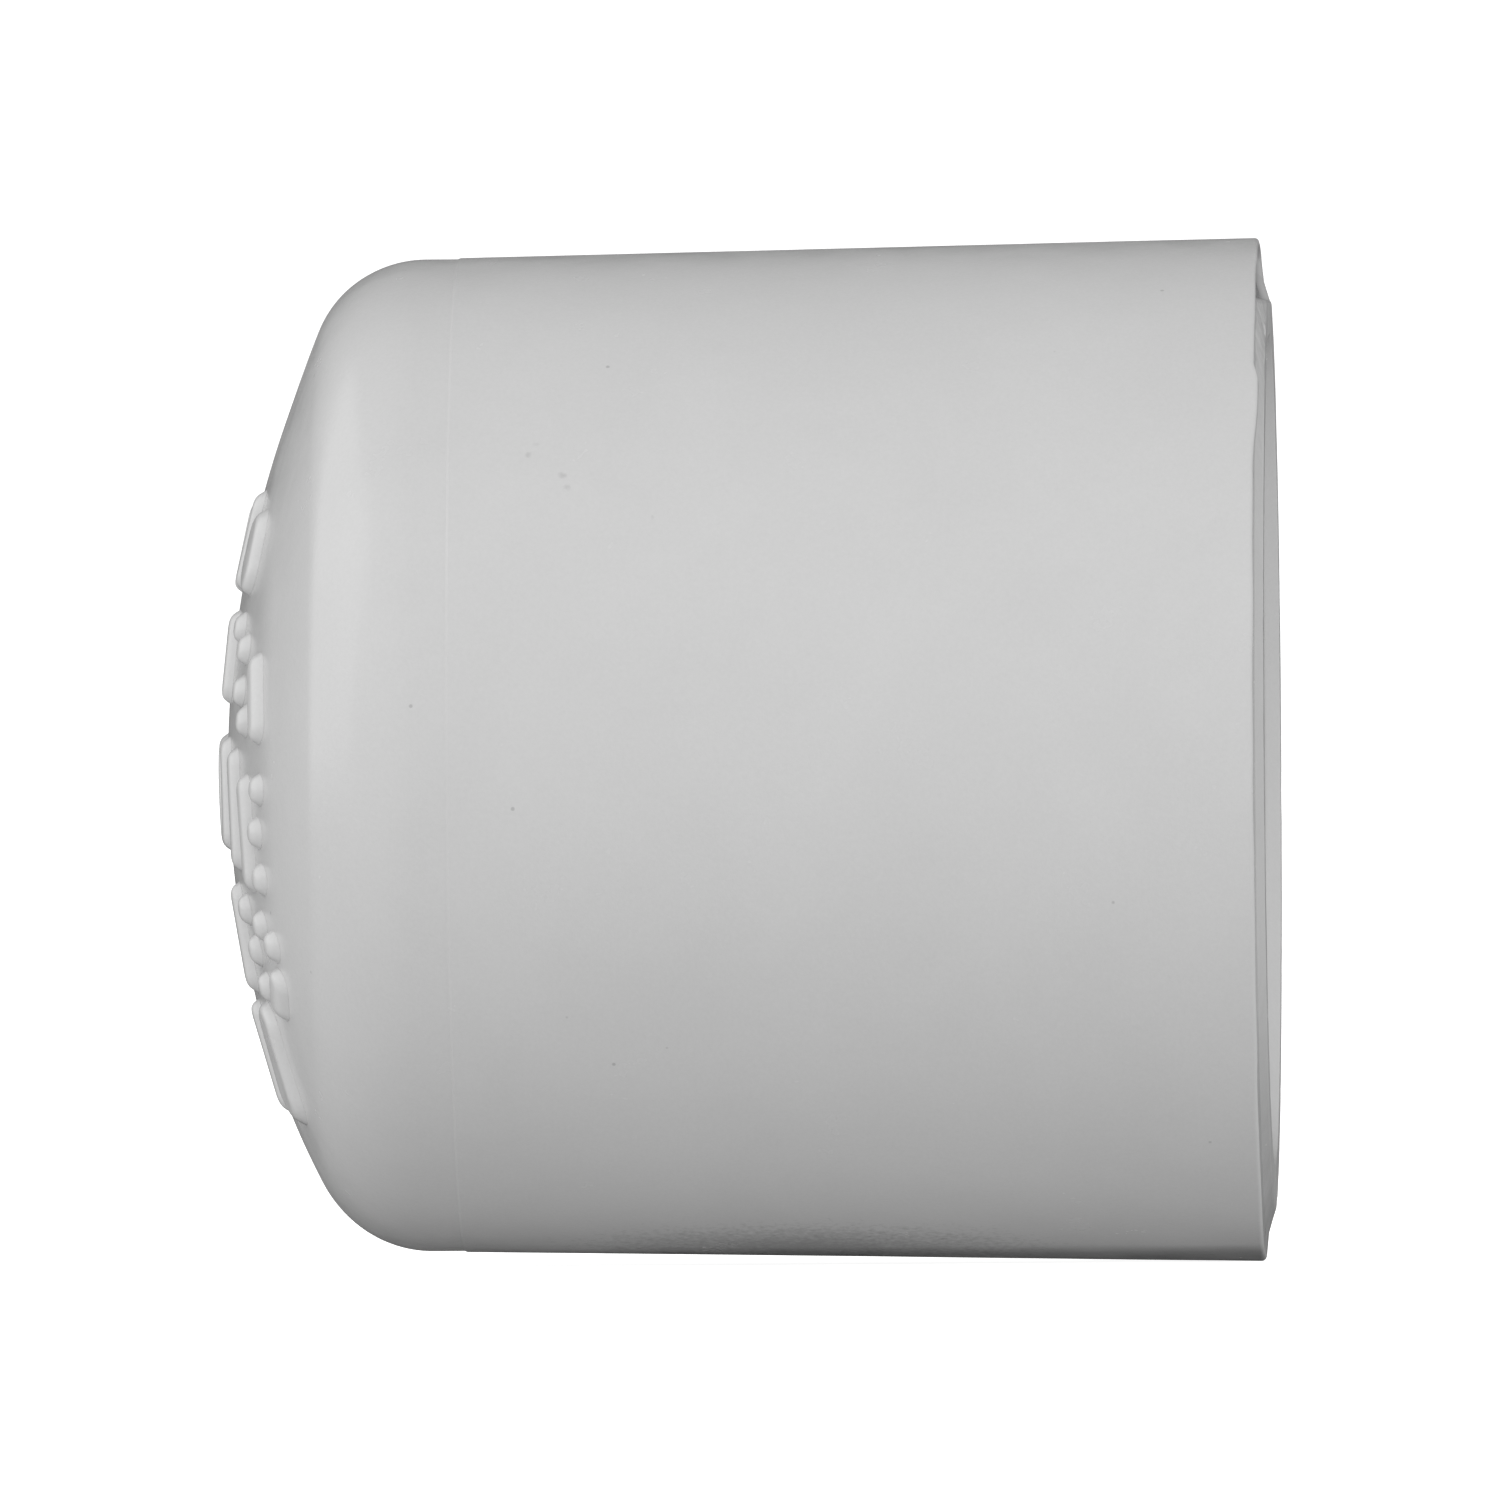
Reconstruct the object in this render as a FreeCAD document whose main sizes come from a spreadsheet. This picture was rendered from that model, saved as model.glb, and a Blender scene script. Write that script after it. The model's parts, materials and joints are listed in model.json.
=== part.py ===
import FreeCAD, Part
import math
import os

import Sketcher

# Half-inch slip cap in rigid PVC. The frame: +X out of the mouth, -X through the crown, +Z up.
# The origin is on the cap's axis, in the plane of the mouth's lip. Millimetres throughout.

SIZES = {
    "cap_length": 28.07,        # lip to crown apex
    "lip_radius": 12.35,        # outer edge of the flat lip
    "rim_radius": 13.75,        # outside of the wall at the mouth
    "rim_setback": 0.27,        # how far the wall's outer edge sits behind the lip
    "rim_rounding": 0.2,
    "parting_distance": 21.77,  # lip to the mould's parting line
    "parting_radius": 13.36,    # wall radius on the mouth's side of that line
    "wall_radius": 13.33,       # wall radius on the crown's side of it
    "knuckle_radius": 3.2,
    "crown_radius": 27.5,
    "socket_radius": 10.77,     # takes a pipe 21.34 across
    "socket_depth": 17.5,
    "socket_chamfer": 0.4,
    "stop_radius": 9.5,         # bore behind the ledge that stops the pipe
    "stop_rounding": 0.3,
    "crown_thickness": 3.35,
    "inner_knuckle_radius": 2.0,
    "mouth_overrun": 1.0,       # how far the cavity's cutting profile passes the lip
    "mark_relief": 0.27,        # height of the raised marks above the crown
    "bar_radius": 0.5,          # half a narrow bar's width
    "wide_bar_radius": 0.85,
    "pip_radius": 0.45,
    "disc_radius": 1.6,
}

# The cavity has cut when less than this share of the solid blank is left.
MOST_LEFT = 0.8

# Raised marks on the crown, in the crown's own plane: (along Y, along Z).
# A bar is a pair of end centres; a pip or a disc is one centre. What stands off the crown's
# vertical centreline is listed for one side only, and stands on both.
MARKS = {
    "mark_row_top": {
        "bar_radius": [((0.00, 6.45), (0.00, 4.90)), ((-2.60, 6.65), (-2.20, 4.95))],
        "wide_bar_radius": [((-4.25, 5.80), (-4.25, 5.15))],
    },
    "mark_row_upper": {
        "bar_radius": [((-2.30, 3.45), (-2.30, 1.90)), ((-7.15, 2.30), (-7.60, 0.80))],
        "pip_radius": [((-5.35, 2.88),), ((-4.20, 3.45),), ((-5.20, 1.75),), ((-6.00, 0.95),)],
    },
    "mark_row_middle": {
        "disc_radius": [((0.00, -0.95),)],
        "bar_radius": [
            ((-2.65, 0.05), (-2.65, -2.05)), ((-4.60, -0.25), (-4.60, -2.60)),
            ((-6.20, -0.95), (-6.20, -3.15)),
        ],
        "pip_radius": [((-7.65, -0.90),), ((-7.25, -2.05),), ((-7.30, -3.30),)],
    },
    "mark_row_lower": {
        "bar_radius": [((-3.40, -3.85), (-3.50, -5.85)), ((-7.30, -6.15), (-6.95, -6.60))],
        "pip_radius": [
            ((-4.75, -4.10),), ((-6.60, -4.55),), ((-7.50, -5.10),),
            ((-5.35, -5.20),), ((-5.75, -6.20),),
        ],
    },
    "mark_row_bottom": {
        "wide_bar_radius": [((-4.80, -7.40), (-4.50, -9.05))],
        "bar_radius": [((-2.85, -7.00), (-2.85, -9.10))],
    },
}

AXES = ("y", "z")


def outlines_of(mark):
    """Every outline of one mark, both sides, as (kind, number, centres)."""
    found = []
    for kind, listed in MARKS[mark].items():
        both = []
        for centres in listed:
            both.append(centres)
            if any(along_y for along_y, along_z in centres):
                both.append(tuple((-along_y, along_z) for along_y, along_z in centres))
        found += [(kind, number, centres) for number, centres in enumerate(both)]
    return found


def make_sheet(doc):
    """Put every driving size in a sheet of aliased cells and return the sheet."""
    sheet = doc.addObject("Spreadsheet::Sheet", "sizes")
    rows = dict(SIZES)
    for mark in MARKS:
        for kind, number, centres in outlines_of(mark):
            for end, centre in enumerate(centres):
                for axis, value in zip(AXES, centre):
                    rows[cell_name(mark, kind, number, end, axis)] = value
    for row, (alias, value) in enumerate(rows.items(), start=1):
        sheet.set(f"A{row}", alias)
        sheet.set(f"B{row}", str(value))
        sheet.setAlias(f"B{row}", alias)
    doc.recompute()
    return sheet


def cell_name(mark, kind, number, end, axis):
    """Alias of one coordinate of one mark's outline."""
    return f"{mark}_{kind}_{number}_{end}_{axis}"


def cell(alias):
    """Expression text that reads one cell of the sheet."""
    return f"<<sizes>>.{alias}"


def origin_plane(body, role):
    """The body's own origin plane with this role."""
    return next(feature for feature in body.Origin.OriginFeatures if feature.Role == role)


def add_sketch(body, name, role):
    """A sketch flat on one of the body's origin planes."""
    sketch = body.newObject("Sketcher::SketchObject", name)
    sketch.AttachmentSupport = (origin_plane(body, role), "")
    sketch.MapMode = "FlatFace"
    return sketch


def dimension(sketch, alias, expression, kind, *references):
    """Add one driving dimension to a sketch and bind it to the sheet."""
    index = sketch.addConstraint(Sketcher.Constraint(kind, *references))
    sketch.renameConstraint(index, alias)
    sketch.setExpression(f"Constraints.{alias}", expression)


def draw_dome_profile(sketch, corners, knuckle, crown):
    """Draw straight edges through the corners, then the knuckle's arc, the crown's arc and the axis.

    knuckle and crown are (centre, radius). Returns the edges in order round the profile.
    """
    outward = knuckle[0] - crown[0]
    turn = math.atan2(outward.y, outward.x)
    edges = []
    for start, end in zip(corners, corners[1:]):
        edges.append(sketch.addGeometry(Part.LineSegment(start, end)))
    for (centre, radius), (start, end) in (
        (knuckle, (math.pi / 2, turn)),
        (crown, (turn, math.pi)),
    ):
        circle = Part.Circle(centre, FreeCAD.Vector(0, 0, 1), radius)
        edges.append(sketch.addGeometry(Part.ArcOfCircle(circle, start, end)))
    apex = FreeCAD.Vector(crown[0].x - crown[1], 0, 0)
    edges.append(sketch.addGeometry(Part.LineSegment(apex, corners[0])))
    return edges


def tie_dome(sketch, edges):
    """Constrain what both dome profiles share: a closed loop with smooth, centred arcs."""
    wall, knuckle, crown, axis = edges[-4:]
    for here, after in zip(edges, edges[1:] + edges[:1]):
        if here in (wall, knuckle):
            sketch.addConstraint(Sketcher.Constraint("Tangent", here, 2, after, 1))
        else:
            sketch.addConstraint(Sketcher.Constraint("Coincident", here, 2, after, 1))
    sketch.addConstraint(Sketcher.Constraint("Horizontal", wall))
    sketch.addConstraint(Sketcher.Constraint("Horizontal", axis))
    sketch.addConstraint(Sketcher.Constraint("PointOnObject", crown, 3, -1))


def dome_centres(wall_radius, knuckle_radius, crown_radius, apex_x):
    """Centres of a knuckle arc and the crown arc that it is tangent to."""
    crown = FreeCAD.Vector(apex_x + crown_radius, 0, 0)
    rise = wall_radius - knuckle_radius
    reach = math.sqrt((crown_radius - knuckle_radius) ** 2 - rise**2)
    knuckle = FreeCAD.Vector(crown.x - reach, rise, 0)
    return knuckle, crown


def add_outside(body):
    """Revolve the outside of the cap: lip, end face, drafted wall, knuckle and crown."""
    size = SIZES
    sketch = add_sketch(body, "outside_profile", "XZ_Plane")
    knuckle, crown = dome_centres(
        size["wall_radius"], size["knuckle_radius"], size["crown_radius"], -size["cap_length"]
    )
    parting_x = -size["parting_distance"]
    corners = [
        FreeCAD.Vector(0, 0, 0),
        FreeCAD.Vector(0, size["lip_radius"], 0),
        FreeCAD.Vector(-size["rim_setback"], size["rim_radius"], 0),
        FreeCAD.Vector(parting_x, size["parting_radius"], 0),
        FreeCAD.Vector(parting_x, size["wall_radius"], 0),
        FreeCAD.Vector(knuckle.x, size["wall_radius"], 0),
    ]
    edges = draw_dome_profile(
        sketch, corners, (knuckle, size["knuckle_radius"]), (crown, size["crown_radius"])
    )
    lip, end_face, mouth_wall, parting_step, crown_wall, knuckle_arc, crown_arc, axis = edges
    tie_dome(sketch, edges)
    sketch.addConstraint(Sketcher.Constraint("Coincident", lip, 1, -1, 1))
    sketch.addConstraint(Sketcher.Constraint("Vertical", lip))
    sketch.addConstraint(Sketcher.Constraint("Vertical", parting_step))
    for alias, kind, references in (
        ("cap_length", "DistanceX", (axis, 1, axis, 2)),
        ("lip_radius", "DistanceY", (-1, 1, lip, 2)),
        ("rim_setback", "DistanceX", (end_face, 2, -1, 1)),
        ("rim_radius", "DistanceY", (-1, 1, end_face, 2)),
        ("parting_distance", "DistanceX", (mouth_wall, 2, -1, 1)),
        ("parting_radius", "DistanceY", (-1, 1, mouth_wall, 2)),
        ("wall_radius", "DistanceY", (-1, 1, crown_wall, 1)),
        ("knuckle_radius", "Radius", (knuckle_arc,)),
        ("crown_radius", "Radius", (crown_arc,)),
    ):
        dimension(sketch, alias, cell(alias), kind, *references, size[alias])
    outside = body.newObject("PartDesign::Revolution", "outside")
    outside.Profile = sketch
    outside.ReferenceAxis = (sketch, ["H_Axis"])
    outside.Angle = 360
    return outside


def add_cavity(body):
    """Groove the pipe socket, the ledge that stops the pipe, and the domed inner end."""
    size = SIZES
    sketch = add_sketch(body, "cavity_profile", "XZ_Plane")
    inner_crown_radius = size["crown_radius"] - size["crown_thickness"]
    knuckle, crown = dome_centres(
        size["stop_radius"],
        size["inner_knuckle_radius"],
        inner_crown_radius,
        size["crown_thickness"] - size["cap_length"],
    )
    overrun, ledge_x = size["mouth_overrun"], -size["socket_depth"]
    corners = [
        FreeCAD.Vector(overrun, 0, 0),
        FreeCAD.Vector(overrun, size["socket_radius"], 0),
        FreeCAD.Vector(ledge_x, size["socket_radius"], 0),
        FreeCAD.Vector(ledge_x, size["stop_radius"], 0),
        FreeCAD.Vector(knuckle.x, size["stop_radius"], 0),
    ]
    edges = draw_dome_profile(
        sketch, corners, (knuckle, size["inner_knuckle_radius"]), (crown, inner_crown_radius)
    )
    opening, socket, ledge, stop_wall, knuckle_arc, crown_arc, axis = edges
    tie_dome(sketch, edges)
    sketch.addConstraint(Sketcher.Constraint("PointOnObject", opening, 1, -1))
    sketch.addConstraint(Sketcher.Constraint("Vertical", opening))
    sketch.addConstraint(Sketcher.Constraint("Horizontal", socket))
    sketch.addConstraint(Sketcher.Constraint("Vertical", ledge))
    for alias, kind, references in (
        ("mouth_overrun", "DistanceX", (-1, 1, opening, 1)),
        ("socket_radius", "DistanceY", (-1, 1, socket, 1)),
        ("socket_depth", "DistanceX", (socket, 2, -1, 1)),
        ("stop_radius", "DistanceY", (-1, 1, stop_wall, 1)),
        ("inner_knuckle_radius", "Radius", (knuckle_arc,)),
    ):
        dimension(sketch, alias, cell(alias), kind, *references, size[alias])
    dimension(
        sketch,
        "cavity_depth",
        f"{cell('cap_length')} - {cell('crown_thickness')}",
        "DistanceX",
        crown_arc,
        2,
        -1,
        1,
        size["cap_length"] - size["crown_thickness"],
    )
    dimension(
        sketch,
        "inner_crown_radius",
        f"{cell('crown_radius')} - {cell('crown_thickness')}",
        "Radius",
        crown_arc,
        inner_crown_radius,
    )
    cavity = body.newObject("PartDesign::Groove", "cavity")
    cavity.Profile = sketch
    cavity.ReferenceAxis = (sketch, ["H_Axis"])
    cavity.Angle = 360
    return cavity


def ring_edge(shape, radius, x):
    """Name of the circular edge round the cap's axis with this radius, at this place along X."""
    for number, edge in enumerate(shape.Edges, start=1):
        curve = edge.Curve
        if isinstance(curve, Part.Circle):
            if abs(curve.Radius - radius) < 1e-4 and abs(curve.Center.x - x) < 1e-4:
                return f"Edge{number}"
    raise ValueError(f"no ring of radius {radius} at x {x}")


def dress_edge(body, kind, name, property_name, alias, radius, x):
    """Chamfer or round one ring edge of the body as it stands."""
    base = body.Tip
    feature = body.newObject(kind, name)
    feature.Base = (base, [ring_edge(base.Shape, radius, x)])
    feature.setExpression(property_name, cell(alias))
    body.Document.recompute()


def make_cap_shell(doc):
    """The moulded cap, one solid."""
    size = SIZES
    body = doc.addObject("PartDesign::Body", "cap_shell")
    outside = add_outside(body)
    doc.recompute()
    filled = outside.Shape.Volume
    add_cavity(body)
    doc.recompute()
    if body.Shape.Volume > MOST_LEFT * filled:
        raise ValueError("the cavity did not cut")
    dress_edge(
        body, "PartDesign::Chamfer", "socket_lead_in", "Size",
        "socket_chamfer", size["socket_radius"], 0.0,
    )
    dress_edge(
        body, "PartDesign::Fillet", "rim_edge", "Radius",
        "rim_rounding", size["rim_radius"], -size["rim_setback"],
    )
    dress_edge(
        body, "PartDesign::Fillet", "ledge_edge", "Radius",
        "stop_rounding", size["stop_radius"], -size["socket_depth"],
    )
    return body


def place_centre(sketch, edge, mark, kind, number, end, centre):
    """Bind one arc's or circle's centre to its pair of cells."""
    for axis, constraint, value in zip(AXES, ("DistanceX", "DistanceY"), centre):
        alias = cell_name(mark, kind, number, end, axis)
        dimension(sketch, alias, cell(alias), constraint, -1, 1, edge, 3, value)


def draw_disc(sketch, mark, kind, number, centre):
    """A round outline."""
    circle = Part.Circle(FreeCAD.Vector(*centre, 0), FreeCAD.Vector(0, 0, 1), SIZES[kind])
    edge = sketch.addGeometry(circle)
    place_centre(sketch, edge, mark, kind, number, 0, centre)
    dimension(sketch, f"{kind}_{number}", cell(kind), "Radius", edge, SIZES[kind])


def draw_bar(sketch, mark, kind, number, start, end):
    """A round-ended bar: two half circles joined by two tangent straights."""
    radius = SIZES[kind]
    start_point, end_point = FreeCAD.Vector(*start, 0), FreeCAD.Vector(*end, 0)
    along = (end_point - start_point).normalize()
    heading = math.atan2(along.y, along.x)
    side = FreeCAD.Vector(-along.y, along.x, 0) * radius
    up = FreeCAD.Vector(0, 0, 1)
    quarter = math.pi / 2
    end_arc = sketch.addGeometry(
        Part.ArcOfCircle(Part.Circle(end_point, up, radius), heading - quarter, heading + quarter)
    )
    left = sketch.addGeometry(Part.LineSegment(end_point + side, start_point + side))
    start_arc = sketch.addGeometry(
        Part.ArcOfCircle(
            Part.Circle(start_point, up, radius), heading + quarter, heading + 3 * quarter
        )
    )
    right = sketch.addGeometry(Part.LineSegment(start_point - side, end_point - side))
    edges = [end_arc, left, start_arc, right]
    for here, after in zip(edges, edges[1:] + edges[:1]):
        sketch.addConstraint(Sketcher.Constraint("Tangent", here, 2, after, 1))
    place_centre(sketch, start_arc, mark, kind, number, 0, start)
    place_centre(sketch, end_arc, mark, kind, number, 1, end)
    dimension(sketch, f"{kind}_{number}", cell(kind), "Radius", start_arc, radius)


def make_relief_zone(doc):
    """The thin spherical skin over the crown that every mark fills."""
    skins = []
    for name, radius in (
        ("mark_tops", f"{cell('crown_radius')} + {cell('mark_relief')}"),
        ("crown_face", cell("crown_radius")),
    ):
        ball = doc.addObject("Part::Sphere", name)
        ball.setExpression("Radius", radius)
        ball.setExpression("Placement.Base.x", f"{cell('crown_radius')} - {cell('cap_length')}")
        skins.append(ball)
    zone = doc.addObject("Part::Cut", "relief_zone")
    zone.Base, zone.Tool = skins
    return zone


def make_mark(doc, mark, zone):
    """One group of raised marks: straight-sided outlines, cut off by the crown and by the tops' skin."""
    blank = doc.addObject("PartDesign::Body", f"{mark}_blank")
    blank.AllowCompound = True
    sketch = add_sketch(blank, f"{mark}_outline", "YZ_Plane")
    for kind, number, centres in outlines_of(mark):
        if len(centres) == 1:
            draw_disc(sketch, mark, kind, number, centres[0])
        else:
            draw_bar(sketch, mark, kind, number, *centres)
    pad = blank.newObject("PartDesign::Pad", f"{mark}_pad")
    pad.Profile = sketch
    pad.Reversed = True
    pad.setExpression("Length", f"{cell('cap_length')} + {cell('mark_relief')}")
    raised = doc.addObject("Part::Common", mark)
    raised.Base = blank
    raised.Tool = zone
    return raised


def check(doc, parts):
    """Stop if any object failed, or if a sub-part is empty or broken."""
    for thing in doc.Objects:
        if "Invalid" in thing.State or "Error" in thing.State:
            raise ValueError(f"{thing.Name} failed: {thing.State}")
    for part in parts:
        shape = part.Shape
        if shape.isNull() or not shape.isValid() or not shape.Solids:
            raise ValueError(f"{part.Label} has no sound shape")
        if part.Label in MARKS:
            wanted = len(outlines_of(part.Label))
            if len(shape.Solids) != wanted:
                raise ValueError(f"{part.Label} has {len(shape.Solids)} solids, not {wanted}")


def build():
    doc = FreeCAD.newDocument("pipe_cap")
    make_sheet(doc)
    parts = [make_cap_shell(doc)]
    zone = make_relief_zone(doc)
    for mark in MARKS:
        parts.append(make_mark(doc, mark, zone))
    doc.recompute()
    check(doc, parts)
    os.makedirs("parts", exist_ok=True)
    for part in parts:
        part.Shape.exportStep(os.path.join("parts", f"{part.Label}.step"))
        box = part.Shape.BoundBox
        print(part.Label, len(part.Shape.Solids), "solids", round(part.Shape.Volume, 2), "mm3")
        print("  x", round(box.XMin, 3), round(box.XMax, 3), "r", round(box.ZMax, 3))


build()
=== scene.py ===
import json
import math

import bpy
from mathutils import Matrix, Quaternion, Vector, noise


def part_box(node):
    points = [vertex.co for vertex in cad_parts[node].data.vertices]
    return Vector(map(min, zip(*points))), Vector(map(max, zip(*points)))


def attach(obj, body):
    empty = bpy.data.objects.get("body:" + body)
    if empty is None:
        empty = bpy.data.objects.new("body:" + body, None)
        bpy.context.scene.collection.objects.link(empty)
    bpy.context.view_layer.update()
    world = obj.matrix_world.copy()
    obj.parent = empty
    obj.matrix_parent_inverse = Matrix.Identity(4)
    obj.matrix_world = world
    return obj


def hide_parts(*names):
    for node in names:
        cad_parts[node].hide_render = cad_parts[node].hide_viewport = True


# A half-inch slip pipe cap in light grey PVC, lying on its side with its mouth towards +X.
# Lengths are in millimetres and turned into metres by MM where a mesh or a light is made.
# Angles round the cap's axis start at the side facing -Y and grow towards +Z.

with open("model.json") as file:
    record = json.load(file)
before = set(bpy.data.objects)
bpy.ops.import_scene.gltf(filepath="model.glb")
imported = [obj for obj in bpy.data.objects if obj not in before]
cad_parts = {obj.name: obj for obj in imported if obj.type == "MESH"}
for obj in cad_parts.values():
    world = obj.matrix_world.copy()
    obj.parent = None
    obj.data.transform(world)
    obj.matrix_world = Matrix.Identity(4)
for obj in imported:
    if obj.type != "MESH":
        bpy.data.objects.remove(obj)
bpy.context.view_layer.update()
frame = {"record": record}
MM = 0.001

# ---------------------------------------------------------------- sizes

SHELL_LOW, SHELL_HIGH = (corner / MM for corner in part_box("cap_shell"))
SOCKET_MOUNT = next(m for m in frame["record"]["mounts"] if m["name"] == "pipe_socket")

CAP_LENGTH = -SHELL_LOW.x
RIM_RADIUS = SHELL_HIGH.z
RIM_SETBACK = 0.27
LIP_RADIUS = 12.35
SOCKET_RADIUS = SOCKET_MOUNT["dims"]["r_mm"]
SOCKET_BOTTOM_RADIUS = SOCKET_RADIUS - 0.15
LEAD_IN = 0.4
SOCKET_DEPTH = LEAD_IN + SOCKET_MOUNT["dims"]["length_mm"]
STOP_RADIUS = 9.5
PARTING_X = -21.77
PARTING_RADIUS = 13.36
WALL_RADIUS = 13.33
KNUCKLE_RADIUS = 3.2
CROWN_RADIUS = 27.5
CROWN_THICKNESS = 3.35
INNER_KNUCKLE_RADIUS = 2.0
MARK_RELIEF = 0.27

# The lip's bevel ends here, and a flatter ring runs on from it to the wall's outer edge.
BEVEL_X, BEVEL_RADIUS = -0.22, 13.08
# half the length over which the wall steps at the parting line
PARTING_BLEND = 0.035

CROWN_CENTRE_X = CROWN_RADIUS - CAP_LENGTH

# ---------------------------------------------------------------- small helpers


def smooth_step(low, high, value):
    """0 below low, 1 above high, and a smooth rise between."""
    share = min(1.0, max(0.0, (value - low) / (high - low)))
    return share * share * (3 - 2 * share)


def hump(centre, half_width, value):
    """1 at the centre, falling smoothly to 0 at half_width either side."""
    return 1 - smooth_step(0.0, half_width, abs(value - centre))


def turn_between(angle, other):
    """Signed difference of two angles, from -pi to pi."""
    return (angle - other + math.pi) % (2 * math.pi) - math.pi


def ripple(point, scale, seed):
    """Smooth noise from about -1 to 1 at a point in millimetres, with features about scale across."""
    return noise.noise(Vector(point) / scale + Vector((seed * 17.3, seed * 5.1, seed * 9.7)))


def make_object(name, vertices, faces, material):
    """A smooth-shaded mesh object on the root body. Vertices are in millimetres."""
    mesh = bpy.data.meshes.new(name)
    mesh.from_pydata([(x * MM, y * MM, z * MM) for x, y, z in vertices], [], faces)
    mesh.validate()
    mesh.polygons.foreach_set("use_smooth", [True] * len(mesh.polygons))
    mesh.materials.append(material)
    piece = bpy.data.objects.new(name, mesh)
    bpy.context.scene.collection.objects.link(piece)
    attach(piece, "root")
    return piece


# ---------------------------------------------------------------- the shell's section


def arc(centre, radius, start, end, steps):
    """Points along an arc in the section plane, from one angle to the other."""
    return [
        (
            centre[0] + radius * math.cos(start + (end - start) * i / steps),
            centre[1] + radius * math.sin(start + (end - start) * i / steps),
        )
        for i in range(steps + 1)
    ]


def dome_arcs(wall_radius, knuckle_radius, crown_radius):
    """Points from the crown's apex along the crown and round the knuckle to the wall."""
    rise = wall_radius - knuckle_radius
    reach = math.sqrt((crown_radius - knuckle_radius) ** 2 - rise**2)
    turn = math.pi - math.atan2(rise, reach)
    knuckle = (CROWN_CENTRE_X - reach, rise)
    crown_points = arc((CROWN_CENTRE_X, 0.0), crown_radius, math.pi, turn, 44)
    knuckle_points = arc(knuckle, knuckle_radius, turn, math.pi / 2, 26)
    return crown_points + knuckle_points[1:]


def run(start, end, step, guard=0.03):
    """Points along a straight stretch, with a close pair at each end so that shading stays flat."""
    length = math.dist(start, end)
    count = max(1, round(length / step))
    shares = [i / count for i in range(count + 1)]
    if length > 4 * guard:
        shares = sorted({*shares, guard / length, 1 - guard / length})
    return [
        (start[0] + (end[0] - start[0]) * s, start[1] + (end[1] - start[1]) * s) for s in shares
    ]


def round_corner(before, corner, after, radius, steps):
    """Points of the smooth bend that rounds a corner between two straights."""
    into = Vector(corner) - Vector(before)
    out = Vector(after) - Vector(corner)
    turn = into.angle(out)
    setback = radius * math.tan(turn / 2)
    start = Vector(corner) - into.normalized() * setback
    end = Vector(corner) + out.normalized() * setback
    points = []
    for i in range(steps + 1):
        share = i / steps
        # a quadratic drawn towards the corner, within 0.02 mm of the true arc at these sizes
        points.append(
            tuple((1 - share) ** 2 * start + 2 * share * (1 - share) * Vector(corner) + share**2 * end)
        )
    return points


def section_path(corners):
    """Join corners (x, r, rounding, step of the straight after it) into one run of points."""
    points = []
    last = corners[0][:2]
    for before, here, after in zip(corners, corners[1:], corners[2:]):
        x, r, rounding, step = here
        bend = round_corner(before[:2], (x, r), after[:2], rounding, 6)
        points += run(last, bend[0], before[3])[:-1]
        points += bend[:-1]
        last = bend[-1]
    points += run(last, corners[-1][:2], corners[-2][3])
    return points


def shell_section():
    """The whole section from the inner apex, out of the mouth, and back to the crown's apex."""
    inner_dome = dome_arcs(STOP_RADIUS, INNER_KNUCKLE_RADIUS, CROWN_RADIUS - CROWN_THICKNESS)
    outer_dome = dome_arcs(WALL_RADIUS, KNUCKLE_RADIUS, CROWN_RADIUS)
    outer_dome.reverse()
    # each corner: x, radius, rounding, and the mesh step along the straight after it
    middle = section_path(
        [
            (*inner_dome[-1], 0.0, 0.5),
            (-SOCKET_DEPTH, STOP_RADIUS, 0.3, 0.25),
            (-SOCKET_DEPTH, SOCKET_BOTTOM_RADIUS, 0.15, 0.6),
            (-LEAD_IN, SOCKET_RADIUS, 0.12, 0.08),
            (0.0, SOCKET_RADIUS + LEAD_IN, 0.09, 0.07),
            (0.0, LIP_RADIUS, 0.22, 0.07),
            (BEVEL_X, BEVEL_RADIUS, 0.16, 0.07),
            (-RIM_SETBACK, RIM_RADIUS, 0.13, 0.55),
            (PARTING_X + PARTING_BLEND, PARTING_RADIUS, 0.02, 0.02),
            (PARTING_X - PARTING_BLEND, WALL_RADIUS, 0.02, 0.2),
            (*outer_dome[0], 0.0, 0.2),
        ]
    )
    return inner_dome[:-1] + middle + outer_dome[1:]


# ---------------------------------------------------------------- the shell's uneven places

# The gate was trimmed off at the top of the near side of the rim: a rough patch below this height
# and a pocket above it.
TRIM_HEIGHT = 12.07
POCKET_DEPTH = 0.3
# heights over which the face steps back from the patch into the pocket
POCKET_STEP = (TRIM_HEIGHT - 0.03, TRIM_HEIGHT + 0.04)
# across the cap, where the pocket and the patch fade out towards the far side
POCKET_END = (1.8, 3.4)
# radii over which the pocket's back wall rises to the rim's outer edge
POCKET_WALL = (13.42, 13.56)
# painted shade in the pocket: the least, what is added further out, and the radii between which it grows
POCKET_SHADE, POCKET_SHADE_RISE, POCKET_SHADE_SPAN = 0.50, 0.30, (12.7, 13.2)
# the patch's torn surface: heights where it begins, radii where it ends, depth and mean sinking
PATCH_START, PATCH_END = (9.6, 10.8), (13.3, 13.6)
TORN_DEPTH, TORN_SINK, TORN_GRIME = 0.022, 0.015, 0.12
# The bulge below the patch, in degrees round the mouth: where it grows and where it ends
BULGE_RISE = (33.0, 43.0)
BULGE_FALL = (46.3, 49.6)
BULGE_HEIGHT, BULGE_UNEVEN, BULGE_EDGE = 0.12, 0.03, (13.2, 13.5)
# a sliver of flash along the lip: how high, how far inside the lip's edge, half its width
SLIVER_HEIGHT, SLIVER_INSET, SLIVER_HALF_WIDTH = 0.04, 0.05, 0.12
# in degrees round the mouth: where it grows and where it ends
SLIVER_RISE, SLIVER_FALL = (4.0, 14.0), (46.0, 52.0)
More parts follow.
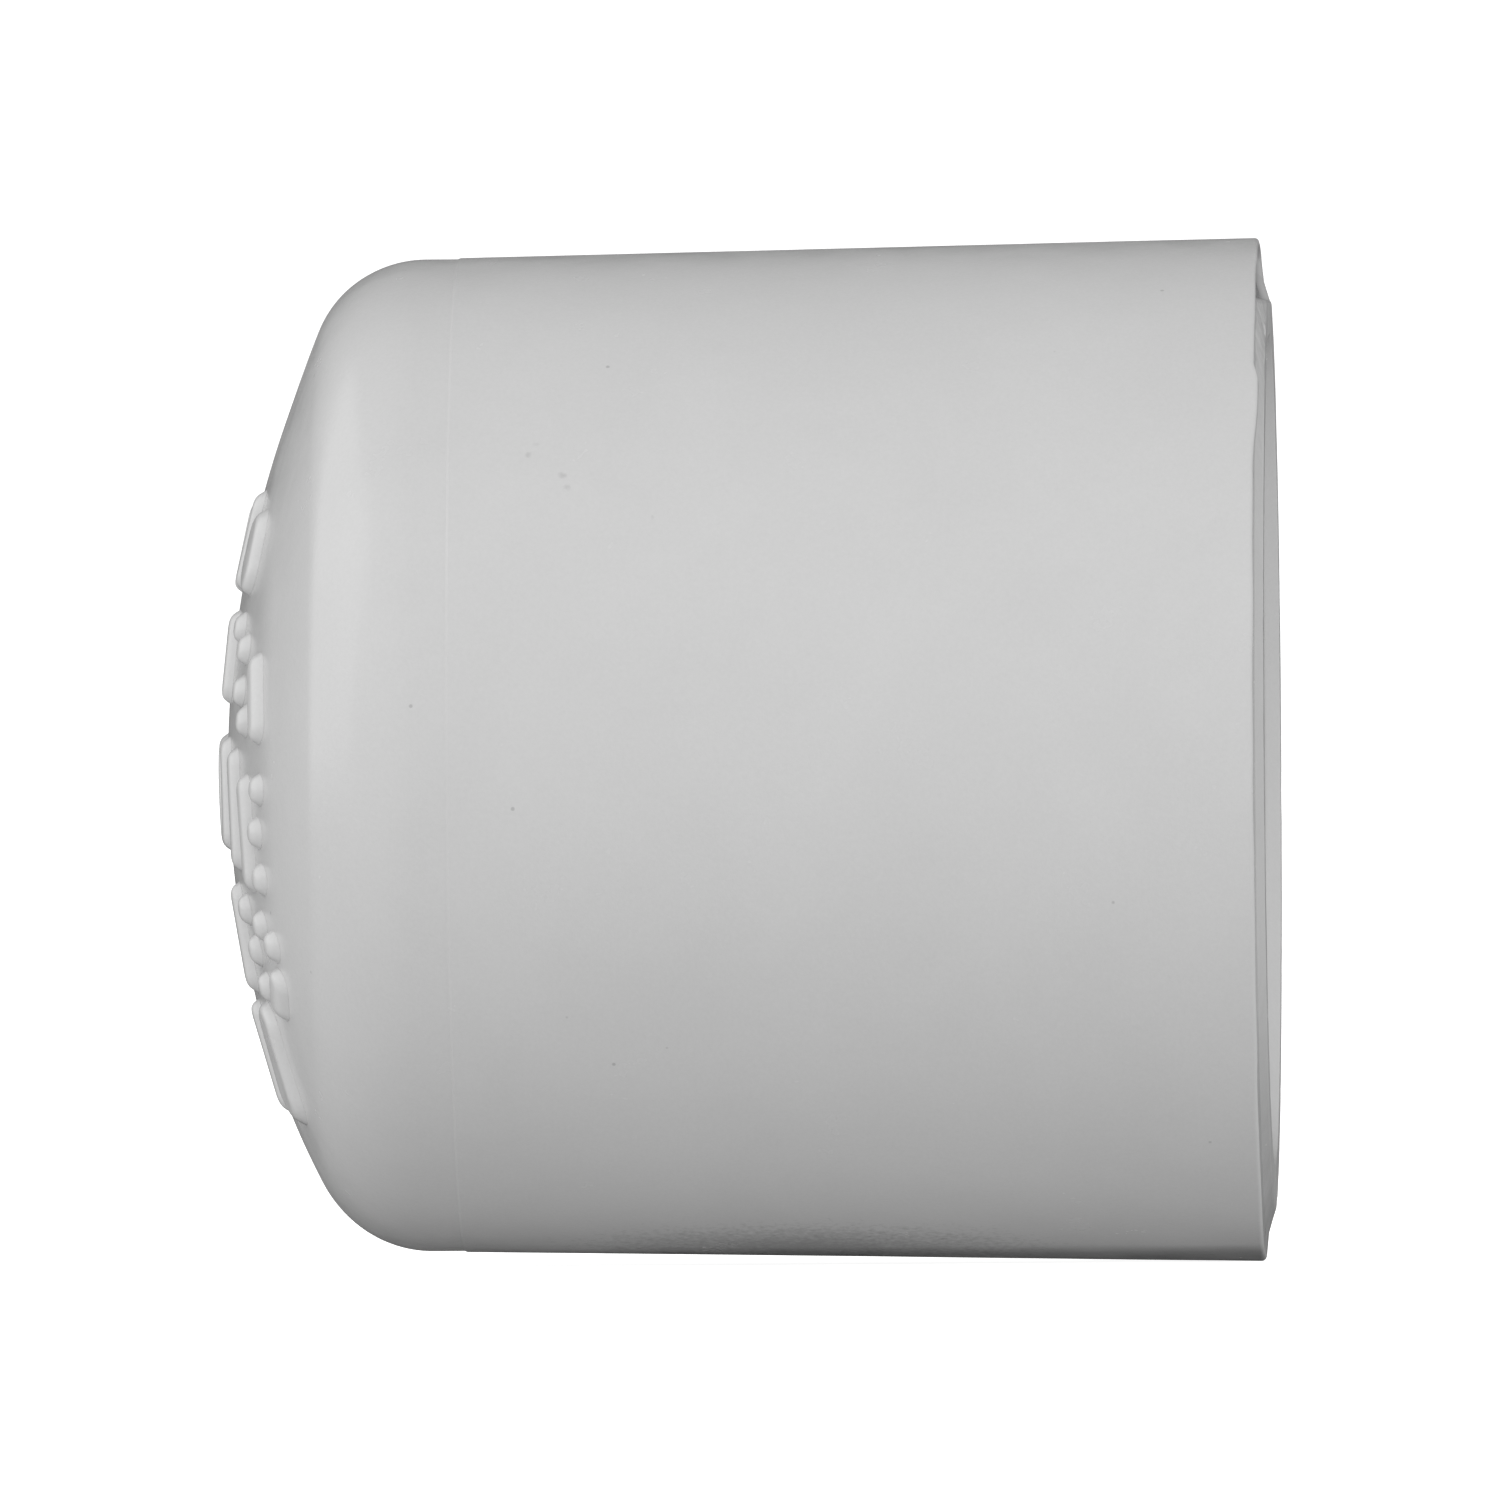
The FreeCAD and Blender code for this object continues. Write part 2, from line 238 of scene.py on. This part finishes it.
# a line of painted shade just inside the outer edge: strength, radius, half its width
EDGE_SHADE, EDGE_SHADE_RADIUS, EDGE_SHADE_HALF_WIDTH = 0.14, 13.42, 0.22
# painted shade on the bevel: the radii it lies between, the least, and what is added towards the bottom
BEVEL_SHADE_START, BEVEL_SHADE_END = (12.2, 12.5), (13.5, 13.65)
BEVEL_SHADE, BEVEL_SHADE_RISE, BEVEL_SHADE_DEPTH = 0.04, 0.24, (4.0, 11.5)
# a pit's painted shade for each millimetre of its depth, and the most that it can be
PIT_SHADE, MOST_PIT_SHADE = 5.5, 0.8
# the uneven face begins and is fully uneven at these places along the axis; its dirt and painted shade
# likewise
FACE_FADE, SOCKET_FADE, DIRT_AND_SHADE_FADE = (-1.4, -0.45), (-0.9, -0.4), (-0.5, -0.36)
# the vertex attribute that carries the dirt and painted shade from the mesh to the material
DIRT_AND_SHADE = "dirt_and_shade"
FINE_ANGLES = (math.radians(26), math.radians(97))
FINE_STEP = math.radians(0.27)
COARSE_STEP = math.radians(0.8)

DOME_LEAN = math.tan(math.radians(0.7))
# the crown has its whole lean within the first radius, and the knuckle none past the second
LEAN_SPAN = (9.0, 12.8)

# Pits in the end face: (angle in degrees, radius, half width, depth)
PITS = [
    (64.9, 12.42, 0.17, 0.16),
    (66.5, 12.10, 0.12, 0.06),
    (69.8, 11.10, 0.19, 0.16),
    (67.5, 11.40, 0.14, 0.08),
    (32.0, 11.75, 0.10, 0.09),
    (18.5, 11.65, 0.12, 0.08),
    (3.0, 12.20, 0.08, 0.05),
    (-22.0, 12.70, 0.07, 0.05),
    (-60.0, 12.00, 0.09, 0.05),
]


def angles_round():
    """Angles of the mesh's columns, close together where the rim was trimmed."""
    angles = []
    angle = FINE_ANGLES[0]
    while angle < FINE_ANGLES[0] + 2 * math.pi - 1e-9:
        angles.append(angle)
        fine = angle < FINE_ANGLES[1]
        angle += FINE_STEP if fine else COARSE_STEP
    if FINE_ANGLES[0] + 2 * math.pi - angles[-1] < 0.4 * COARSE_STEP:
        angles.pop()
    return angles


def end_face_state(angle, x, r):
    """How far a point of the mouth's end face is moved along the axis, and how much dirt and painted
    shade darken it.
    """
    y, z = -r * math.cos(angle), r * math.sin(angle)
    shift = 0.008 * ripple((x, y, z), 1.4, 1) + 0.004 * ripple((x, y, z), 0.35, 2)
    degrees = math.degrees(turn_between(angle, 0.0))
    # the rim's near edge bulges outwards for a short way below the trimmed patch
    edge = smooth_step(*BULGE_EDGE, r)
    bulge = smooth_step(*BULGE_RISE, degrees) * (1 - smooth_step(*BULGE_FALL, degrees))
    shift += edge * (BULGE_HEIGHT * bulge + BULGE_UNEVEN * ripple((0.0, y, z), 2.6, 3))
    near = 1 - smooth_step(*POCKET_END, y)
    # pocket above the trimmed patch, behind the rim's outer edge
    pocket = smooth_step(*POCKET_STEP, z) * near
    pocket *= 1 - smooth_step(*POCKET_WALL, r)
    shift -= POCKET_DEPTH * pocket
    # painted shade in the pocket, darker towards the rim's outer edge
    dirt_and_shade = pocket * (POCKET_SHADE + POCKET_SHADE_RISE * smooth_step(*POCKET_SHADE_SPAN, r))
    # torn surface of the trimmed patch
    patch = smooth_step(*PATCH_START, z) * (1 - pocket) * near * (1 - smooth_step(*PATCH_END, r))
    torn = ripple((x, y, z), 0.6, 4) + 0.5 * ripple((x, y, z), 0.25, 5)
    shift += patch * (TORN_DEPTH * torn - TORN_SINK)
    dirt_and_shade = max(dirt_and_shade, patch * TORN_GRIME * smooth_step(-0.2, 0.7, torn))
    # a thin sliver of flash stands along the lip below the patch
    sliver = hump(LIP_RADIUS - SLIVER_INSET, SLIVER_HALF_WIDTH, r)
    sliver *= smooth_step(*SLIVER_RISE, degrees)
    sliver *= 1 - smooth_step(*SLIVER_FALL, degrees)
    shift += sliver * SLIVER_HEIGHT * (0.6 + ripple((0.0, y, z), 0.9, 6))
    # painted shade just inside the outer edge, and on the bevel, darker towards the bottom
    dirt_and_shade = max(dirt_and_shade, EDGE_SHADE * hump(EDGE_SHADE_RADIUS, EDGE_SHADE_HALF_WIDTH, r))
    bevel = smooth_step(*BEVEL_SHADE_START, r) * (1 - smooth_step(*BEVEL_SHADE_END, r))
    # the bevel's painted shade grows towards the bottom, where it faces down
    lower = smooth_step(*BEVEL_SHADE_DEPTH, -z)
    dirt_and_shade = max(dirt_and_shade, bevel * (BEVEL_SHADE + BEVEL_SHADE_RISE * lower))
    # pits dent the face, and each gets painted shade in proportion to its depth
    for pit_degrees, pit_radius, half_width, depth in PITS:
        away = math.hypot(r * turn_between(angle, math.radians(pit_degrees)), r - pit_radius)
        away *= 1 + 0.5 * ripple((x, y, z), 0.15, 9)
        if away < half_width:
            dent = 1 - smooth_step(0.25 * half_width, half_width, away)
            shift -= depth * dent
            dirt_and_shade = max(dirt_and_shade, min(MOST_PIT_SHADE, PIT_SHADE * depth) * dent)
    return min(shift, -x), dirt_and_shade


def dome_lean(r, z):
    """How far the crown is moved along the axis, because it isn't quite square to the wall."""
    return DOME_LEAN * z * (1 - smooth_step(*LEAN_SPAN, r))


def wall_shift(angle, x, r):
    """How far a point of the outside wall or crown is moved outwards: slow moulding waviness."""
    y, z = -r * math.cos(angle), r * math.sin(angle)
    return 0.006 * ripple((x, y, z), 7.0, 7) + 0.0025 * ripple((x, y, z), 2.2, 8)


def shell_vertex(angle, x, r):
    """One vertex of the shell, uneven places included, and how much dirt and painted shade darken it."""
    dirt_and_shade = 0.0
    if x > FACE_FADE[0] and r > SOCKET_RADIUS - 0.2:
        fade = smooth_step(*FACE_FADE, x)
        if r < SOCKET_RADIUS + 0.05:
            fade *= smooth_step(*SOCKET_FADE, x)
        shift, dirt_and_shade = end_face_state(angle, x, r)
        dirt_and_shade *= smooth_step(*DIRT_AND_SHADE_FADE, x)
        x += fade * shift
    elif r > 0.5 and (x < -26.0 or r > STOP_RADIUS + 3.0 or on_crown_face(x, r)):
        r += wall_shift(angle, x, r) * smooth_step(0.5, 3.0, r) * smooth_step(1.4, 3.0, -x)
    if on_crown_face(x, r):
        x += dome_lean(r, r * math.sin(angle))
    return (x, -r * math.cos(angle), r * math.sin(angle)), dirt_and_shade


def on_crown_face(x, r):
    """Whether a point of the section belongs to the outside of the dome."""
    from_centre = math.hypot(x - CROWN_CENTRE_X, r)
    return x < PARTING_X - 1.0 and from_centre > CROWN_RADIUS - CROWN_THICKNESS / 2


def make_shell(material):
    """The moulded cap: its section swept round the axis, closed at both apexes."""
    section = shell_section()
    rings = section[1:-1]
    angles = angles_round()
    columns = len(angles)
    placed = [((section[0][0], 0.0, 0.0), 0.0)]
    for x, r in rings:
        placed += [shell_vertex(angle, x, r) for angle in angles]
    placed.append(((section[-1][0], 0.0, 0.0), 0.0))
    vertices, dirt_and_shade = zip(*placed)
    last = len(vertices) - 1
    faces = []
    for column in range(columns):
        after = (column + 1) % columns
        faces.append((0, 1 + after, 1 + column))
        for ring in range(len(rings) - 1):
            base, above = 1 + ring * columns, 1 + (ring + 1) * columns
            faces.append((base + column, base + after, above + after, above + column))
        base = 1 + (len(rings) - 1) * columns
        faces.append((base + column, base + after, last))
    shell = make_object("moulded_shell", vertices, faces, material)
    shell.data.attributes.new(DIRT_AND_SHADE, "FLOAT", "POINT").data.foreach_set("value", dirt_and_shade)
    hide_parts("cap_shell")
    return shell


# ---------------------------------------------------------------- raised marks on the crown

BAR_RADIUS = 0.5
WIDE_BAR_RADIUS = 0.85
PIP_RADIUS = 0.45
DISC_RADIUS = 1.6

# (radius, end centres along Y and Z): one side only where a mark stands off the centreline
MARKS = {
    "mark_row_top": [
        (BAR_RADIUS, (0.00, 6.45), (0.00, 4.90)),
        (BAR_RADIUS, (-2.60, 6.65), (-2.20, 4.95)),
        (WIDE_BAR_RADIUS, (-4.25, 5.80), (-4.25, 5.15)),
    ],
    "mark_row_upper": [
        (BAR_RADIUS, (-2.30, 3.45), (-2.30, 1.90)),
        (BAR_RADIUS, (-7.15, 2.30), (-7.60, 0.80)),
        (PIP_RADIUS, (-5.35, 2.88)),
        (PIP_RADIUS, (-4.20, 3.45)),
        (PIP_RADIUS, (-5.20, 1.75)),
        (PIP_RADIUS, (-6.00, 0.95)),
    ],
    "mark_row_middle": [
        (DISC_RADIUS, (0.00, -0.95)),
        (BAR_RADIUS, (-2.65, 0.05), (-2.65, -2.05)),
        (BAR_RADIUS, (-4.60, -0.25), (-4.60, -2.60)),
        (BAR_RADIUS, (-6.20, -0.95), (-6.20, -3.15)),
        (PIP_RADIUS, (-7.65, -0.90)),
        (PIP_RADIUS, (-7.25, -2.05)),
        (PIP_RADIUS, (-7.30, -3.30)),
    ],
    "mark_row_lower": [
        (BAR_RADIUS, (-3.40, -3.85), (-3.50, -5.85)),
        (BAR_RADIUS, (-7.30, -6.15), (-6.95, -6.60)),
        (PIP_RADIUS, (-4.75, -4.10)),
        (PIP_RADIUS, (-6.60, -4.55)),
        (PIP_RADIUS, (-7.50, -5.10)),
        (PIP_RADIUS, (-5.35, -5.20)),
        (PIP_RADIUS, (-5.75, -6.20)),
    ],
    "mark_row_bottom": [
        (WIDE_BAR_RADIUS, (-4.80, -7.40), (-4.50, -9.05)),
        (BAR_RADIUS, (-2.85, -7.00), (-2.85, -9.10)),
    ],
}

# Loops from a mark's foot to its top: (how far inside the outline, height above the crown)
MARK_LOOPS = [
    (0.00, -0.050),
    (0.00, 0.003),
    (0.025, 0.028),
    (0.055, 0.072),
    (0.090, 0.122),
    (0.130, 0.168),
    (0.180, 0.207),
    (0.240, 0.234),
    (0.300, 0.248),
    (0.370, 0.254),
]
# over a mark's top, loops about this far apart run inwards to this far from its centre line
TOP_STEP = 0.12
TOP_CORE = 0.10
# how uneven a mark's top is, what counts as its top, and the room left under the CAD's skin
TOP_UNEVEN, TOP_FROM, TOP_ROOM = 0.012, 0.2, 0.002
# each row of marks takes the next seed from here for its own unevenness
FIRST_MARK_SEED = 20


def mark_loops(radius):
    """Every loop of a mark of this radius: up its flank, then inwards over its top."""
    inset, height = MARK_LOOPS[-1]
    spare = radius - TOP_CORE - inset
    count = max(0, round(spare / TOP_STEP))
    return MARK_LOOPS + [(inset + spare * (i + 1) / count, height) for i in range(count)]


def outline(radius, start, end, steps=20):
    """Points round a bar of this radius between two centres; a pip has the same centre twice."""
    is_round = start == end
    heading = 0.0 if is_round else math.atan2(end[1] - start[1], end[0] - start[0])
    # a round outline's two halves share their end points, so each half leaves its last one out
    last = steps - 1 if is_round else steps
    points = []
    for centre, first in ((end, heading - math.pi / 2), (start, heading + math.pi / 2)):
        for i in range(last + 1):
            angle = first + math.pi * i / steps
            points.append((centre[0] + radius * math.cos(angle), centre[1] + radius * math.sin(angle)))
    return points


def on_crown(y, z, height):
    """The point this far above the crown's face, in the crown's plane at y, z."""
    radius = CROWN_RADIUS + height
    x = CROWN_CENTRE_X - math.sqrt(radius**2 - y * y - z * z)
    return x + dome_lean(math.hypot(y, z), z), y, z


def add_island(vertices, faces, radius, start, end, seed):
    """One raised bar or pip: loops stepping in and up from its foot, closed top and bottom."""
    first = len(vertices)
    count = 0
    loops = mark_loops(radius)
    for inset, height in loops:
        loop = outline(radius - inset, start, end)
        count = len(loop)
        for y, z in loop:
            uneven = TOP_UNEVEN * ripple((0.0, y, z), 0.8, seed) if height > TOP_FROM else 0.0
            vertices.append(on_crown(y, z, min(height + uneven, MARK_RELIEF - TOP_ROOM)))
    for loop in range(len(loops) - 1):
        base, above = first + loop * count, first + (loop + 1) * count
        for i in range(count):
            after = (i + 1) % count
            faces.append((base + i, above + i, above + after, base + after))
    top = first + (len(loops) - 1) * count
    faces.append(tuple(top + i for i in reversed(range(count))))
    faces.append(tuple(first + i for i in range(count)))


def make_mark(node, islands, material, seed):
    """One group of raised marks."""
    vertices, faces = [], []
    for radius, *centres in islands:
        start, end = centres[0], centres[-1]
        for side in (1, -1) if start[0] or end[0] else (1,):
            ends = [(side * y, z) for y, z in (start, end)]
            add_island(vertices, faces, radius, *ends, seed)
    mark = make_object("raised_" + node, vertices, faces, material)
    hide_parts(node)
    return mark


# ---------------------------------------------------------------- materials

# Scuffs, and a painted contact shadow along the bottom: (centre, reach along each axis, share of
# lightness lost), in millimetres
SCUFFS_AND_SHADOW = [
    ((-19.62, -10.72, 8.00), (0.13, 0.20, 0.10), 0.16),
    ((-19.40, -10.50, 8.28), (0.10, 0.15, 0.07), 0.10),
    ((-18.70, -11.12, 7.44), (0.15, 0.20, 0.09), 0.18),
    ((-18.58, -11.32, 7.12), (0.12, 0.20, 0.11), 0.18),
    ((-16.28, -11.80, 6.28), (0.08, 0.15, 0.10), 0.15),
    # a painted contact shadow along the bottom, where the cap lies on the floor
    ((-12.60, -2.60, -13.30), (6.50, 6.00, 0.75), 0.30),
]
BODY_GREY = 0.62
# the raised marks' grey, a little lighter than the body's
MARK_GREY = 0.645
# painted shade on the crown: share of its lightness that the ground between the raised marks loses
PAINTED_CROWN_SHADE = 0.15
# along the axis: darkest at the first place, as light as the wall at the second
PAINTED_CROWN_SHADE_SPAN = (-27.1, -26.5)
CREASE_REACH = 0.5


def add_node(tree, kind, inputs=(), **settings):
    """A shader node with its settings and inputs. An input is a value or another node's output."""
    node = tree.nodes.new(kind)
    for name, value in settings.items():
        setattr(node, name, value)
    for name, value in dict(inputs).items():
        if isinstance(value, bpy.types.NodeSocket):
            tree.links.new(value, node.inputs[name])
        else:
            node.inputs[name].default_value = value
    return node


def grey(value):
    return (value, value, value, 1.0)


def ramp(tree, factor, stops):
    """A colour ramp through (position, grey value) stops."""
    node = tree.nodes.new("ShaderNodeValToRGB")
    tree.links.new(factor, node.inputs["Fac"])
    elements = node.color_ramp.elements
    while len(elements) < len(stops):
        elements.new(0.5)
    for element, (position, value) in zip(elements, stops):
        element.position = position
        element.color = grey(value)
    return node.outputs["Color"]


def pvc_material(name, body_grey, painted_crown_shade):
    """Light grey rigid PVC as moulded: faint flow mottling, fine skin, scuffs and specks, with painted
    shade in creases and on the crown, and a painted contact shadow.

    painted_crown_shade is the share of its lightness that the ground between the raised marks loses, as
    painted shade."""
    material = bpy.data.materials.new(name)
    material.use_nodes = True
    tree = material.node_tree
    tree.nodes.clear()
    place = add_node(tree, "ShaderNodeTexCoord")
    in_mm = add_node(
        tree, "ShaderNodeVectorMath", {0: place.outputs["Object"], "Scale": 1 / MM}, operation="SCALE"
    ).outputs["Vector"]

    def noise_at(scale, detail, roughness=0.5, distortion=0.0):
        return add_node(
            tree,
            "ShaderNodeTexNoise",
            {
                "Vector": in_mm,
                "Scale": scale,
                "Detail": detail,
                "Roughness": roughness,
                "Distortion": distortion,
            },
        ).outputs["Fac"]

    def math_node(operation, first, second=0.0, third=0.0):
        return add_node(
            tree, "ShaderNodeMath", {0: first, 1: second, 2: third}, operation=operation
        ).outputs["Value"]

    mottle = noise_at(0.22, 3.0, 0.55, 0.4)
    flow = noise_at(0.9, 4.0, 0.6, 1.2)
    grain = noise_at(9.0, 3.0, 0.7)
    skin = noise_at(22.0, 2.0, 0.6)

    # tiny dark specks, far apart
    cells = add_node(
        tree, "ShaderNodeTexVoronoi", {"Vector": in_mm, "Scale": 0.75, "Randomness": 1.0}
    )
    near_speck = ramp(tree, cells.outputs["Distance"], [(0.0, 1.0), (0.028, 1.0), (0.05, 0.0)])
    chosen = math_node(
        "GREATER_THAN",
        add_node(tree, "ShaderNodeSeparateColor", {"Color": cells.outputs["Color"]}).outputs["Red"],
        0.8,
    )
    speck = math_node("MULTIPLY", near_speck, chosen)

    tone = math_node("MULTIPLY_ADD", mottle, 0.045, body_grey - 0.0225)
    tone = math_node("MULTIPLY_ADD", flow, 0.018, math_node("SUBTRACT", tone, 0.009))
    tone = math_node("MULTIPLY_ADD", grain, 0.060, math_node("SUBTRACT", tone, 0.030))
    tone = math_node("MULTIPLY_ADD", speck, -0.16, tone)

    # scuffs and the painted contact shadow at their own places, ragged at the edge
    ragged = add_node(
        tree,
        "ShaderNodeVectorMath",
        {
            0: add_node(
                tree, "ShaderNodeTexNoise", {"Vector": in_mm, "Scale": 6.0, "Detail": 3.0}
            ).outputs["Color"],
            1: (0.5, 0.5, 0.5),
        },
        operation="SUBTRACT",
    ).outputs["Vector"]
    for centre, reach, darkness in SCUFFS_AND_SHADOW:
        offset = add_node(
            tree, "ShaderNodeVectorMath", {0: in_mm, 1: centre}, operation="SUBTRACT"
        ).outputs["Vector"]
        scaled = add_node(
            tree, "ShaderNodeVectorMath", {0: offset, 1: reach}, operation="DIVIDE"
        ).outputs["Vector"]
        frayed = add_node(
            tree,
            "ShaderNodeVectorMath",
            {0: ragged, 1: (1.6, 1.6, 1.6), 2: scaled},
            operation="MULTIPLY_ADD",
        ).outputs["Vector"]
        away = add_node(
            tree, "ShaderNodeVectorMath", {0: frayed}, operation="LENGTH"
        ).outputs["Value"]
        tone = math_node("MULTIPLY", tone, ramp(tree, away, [(0.2, 1 - darkness), (1.0, 1.0)]))
    along = add_node(tree, "ShaderNodeSeparateXYZ", {"Vector": in_mm}).outputs["X"]
    # painted shade: the crown's ground grows darker towards the middle of the dome
    crown_shade_factor = add_node(
        tree,
        "ShaderNodeMapRange",
        {
            "Value": along,
            "From Min": PAINTED_CROWN_SHADE_SPAN[0],
            "From Max": PAINTED_CROWN_SHADE_SPAN[1],
            "To Min": 1 - painted_crown_shade,
            "To Max": 1.0,
        },
        interpolation_type="SMOOTHSTEP",
    ).outputs["Result"]
    tone = math_node("MULTIPLY", tone, crown_shade_factor)
    # the dirt and painted shade carried by the mesh darken the colour
    dirt_and_shade = add_node(tree, "ShaderNodeAttribute", attribute_name=DIRT_AND_SHADE).outputs["Fac"]
    tone = math_node("MULTIPLY", tone, math_node("SUBTRACT", 1.0, dirt_and_shade))

    # painted shade in the creases round the raised marks and in the torn rim, from ambient occlusion
    crease_shade = add_node(
        tree, "ShaderNodeAmbientOcclusion", {"Distance": CREASE_REACH * MM}, samples=12
    ).outputs["AO"]
    tone = math_node("MULTIPLY", tone, ramp(tree, crease_shade, [(0.25, 0.62), (0.80, 0.94), (0.97, 1.0)]))
    colour = add_node(
        tree, "ShaderNodeCombineColor", {"Red": tone, "Green": tone, "Blue": tone}
    ).outputs["Color"]

    gloss_loss = noise_at(0.5, 4.0, 0.65)
    roughness = ramp(tree, gloss_loss, [(0.3, 0.18), (0.7, 0.28)])

    fine = add_node(
        tree, "ShaderNodeBump", {"Height": skin, "Strength": 0.35, "Distance": 0.004 * MM}
    )
    coarse = add_node(
        tree,
        "ShaderNodeBump",
        {"Height": grain, "Strength": 0.5, "Distance": 0.008 * MM, "Normal": fine.outputs["Normal"]},
    )
    surface = add_node(
        tree,
        "ShaderNodeBsdfPrincipled",
        {
            "Base Color": colour,
            "Roughness": roughness,
            "IOR": 1.53,
            "Normal": coarse.outputs["Normal"],
        },
    )
    add_node(tree, "ShaderNodeOutputMaterial", {"Surface": surface.outputs["BSDF"]})
    return material


# ---------------------------------------------------------------- the set

FLOOR_GREY = 0.85
FLOOR_GLOW = 0.8
# metres from the middle of the floor to each side
FLOOR_REACH = 30.0
BACKDROP_BRIGHTNESS = 1.2


def make_floor():
    """A plain pale floor that the cap lies on, wide enough to have no visible edge."""
    material = bpy.data.materials.new("pale_floor")
    material.use_nodes = True
    tree = material.node_tree
    tree.nodes.clear()
    matt = add_node(tree, "ShaderNodeBsdfDiffuse", {"Color": grey(FLOOR_GREY)})
    glow = add_node(tree, "ShaderNodeEmission", {"Color": grey(1.0), "Strength": FLOOR_GLOW})
    both = add_node(tree, "ShaderNodeAddShader", {0: matt.outputs[0], 1: glow.outputs[0]})
    add_node(tree, "ShaderNodeOutputMaterial", {"Surface": both.outputs[0]})
    height = SHELL_LOW.z * MM
    mesh = bpy.data.meshes.new("floor")
    mesh.from_pydata(
        [(x * FLOOR_REACH, y * FLOOR_REACH, height) for x, y in ((-1, -1), (1, -1), (1, 1), (-1, 1))],
        [],
        [(0, 1, 2, 3)],
    )
    mesh.materials.append(material)
    floor = bpy.data.objects.new("floor", mesh)
    bpy.context.scene.collection.objects.link(floor)
    floor.visible_diffuse = False
    floor.visible_glossy = False


# Soft boxes: (azimuth from the camera's side towards +X, elevation, distance, width, height,
# brightness). Angles in degrees, lengths in metres.
SOFT_BOXES = {
    "left_box": (-95, 23, 1.1, 1.34, 1.07, 0.80),
}

# Broad, soft light from the studio's pale walls: (azimuth, elevation, brightness). Each is brightest
# in its own direction and fades to nothing at right angles to it.
SURROUND = {
    "front_wall": (0, 0, 0.38),
    "raised_front": (0, 40, 0.44),
    "left_wall": (-82, 0, 0.64),
    "right_wall": (90, 5, 0.76),
    "ceiling": (0, 90, 0.20),
    "front_floor": (0, -50, 0.155),
}


def direction(azimuth, elevation):
    """The unit vector towards these angles in degrees, measured from the camera's side."""
    turn, rise = math.radians(azimuth), math.radians(elevation)
    return Vector(
        (math.sin(turn) * math.cos(rise), -math.cos(turn) * math.cos(rise), math.sin(rise))
    )


def make_lights():
    """Soft boxes round the cap, hidden from the camera."""
    middle = Vector((-CAP_LENGTH / 2 * MM, 0.0, 0.0))
    for name, (azimuth, elevation, distance, width, height, brightness) in SOFT_BOXES.items():
        towards = direction(azimuth, elevation)
        data = bpy.data.lights.new(name, "AREA")
        data.shape = "RECTANGLE"
        data.size, data.size_y = width, height
        # in proportion to the area, so that brightness means the same at any size of box
        data.energy = brightness * math.pi * width * height
        box = bpy.data.objects.new(name, data)
        box.location = middle + towards * distance
        box.rotation_mode = "QUATERNION"
        box.rotation_quaternion = towards.to_track_quat("Z", "Y")
        box.visible_camera = False
        bpy.context.scene.collection.objects.link(box)


def make_world():
    """Pale surroundings: white behind the cap for the camera, and soft light from the walls."""
    world = bpy.data.worlds.new("studio")
    bpy.context.scene.world = world
    world.use_nodes = True
    tree = world.node_tree
    tree.nodes.clear()
    outwards = add_node(tree, "ShaderNodeTexCoord").outputs["Generated"]
    total = 0.0
    for azimuth, elevation, brightness in SURROUND.values():
        facing = add_node(
            tree,
            "ShaderNodeVectorMath",
            {0: outwards, 1: direction(azimuth, elevation)},
            operation="DOT_PRODUCT",
        ).outputs["Value"]
        lit = add_node(
            tree, "ShaderNodeMath", {0: facing, 1: 0.0}, operation="MAXIMUM"
        ).outputs["Value"]
        total = add_node(
            tree, "ShaderNodeMath", {0: lit, 1: brightness, 2: total}, operation="MULTIPLY_ADD"
        ).outputs["Value"]
    soft = add_node(tree, "ShaderNodeBackground", {"Color": grey(1.0), "Strength": total})
    white = add_node(tree, "ShaderNodeBackground", {"Color": grey(1.0), "Strength": BACKDROP_BRIGHTNESS})
    seen = add_node(tree, "ShaderNodeLightPath").outputs["Is Camera Ray"]
    both = add_node(tree, "ShaderNodeMixShader", {0: seen, 1: soft.outputs[0], 2: white.outputs[0]})
    add_node(tree, "ShaderNodeOutputWorld", {"Surface": both.outputs[0]})


# ---------------------------------------------------------------- camera

CAMERA_DISTANCE = 1.6
CAMERA_YAW = math.radians(1.6)
CAMERA_ROLL = math.radians(-0.4)
FRAME_WIDTH = 40.32
AIM_X = -14.05
AIM_HEIGHT = 0.08
SENSOR_WIDTH = 36.0


def make_camera():
    """A long lens looking along +Y at the cap's side, turned a little towards the mouth."""
    data = bpy.data.cameras.new("camera")
    data.sensor_width = SENSOR_WIDTH
    data.lens = SENSOR_WIDTH * CAMERA_DISTANCE / (FRAME_WIDTH * MM)
    data.clip_start, data.clip_end = 0.05, 200.0
    camera = bpy.data.objects.new("camera", data)
    aim = Vector((AIM_X, 0.0, AIM_HEIGHT)) * MM
    back = Vector((math.sin(CAMERA_YAW), -math.cos(CAMERA_YAW), 0.0))
    camera.location = aim + back * CAMERA_DISTANCE
    camera.rotation_mode = "QUATERNION"
    camera.rotation_quaternion = back.to_track_quat("Z", "Y") @ Quaternion((0, 0, 1), CAMERA_ROLL)
    bpy.context.scene.collection.objects.link(camera)
    bpy.context.scene.camera = camera


# ---------------------------------------------------------------- making it all

bpy.context.scene.view_settings.view_transform = "Standard"
make_camera()
make_lights()
make_world()
make_floor()

make_shell(pvc_material("grey_pvc", BODY_GREY, PAINTED_CROWN_SHADE))
mark_pvc = pvc_material("grey_pvc_marks", MARK_GREY, 0.0)
for number, (node, islands) in enumerate(MARKS.items()):
    make_mark(node, islands, mark_pvc, FIRST_MARK_SEED + number)
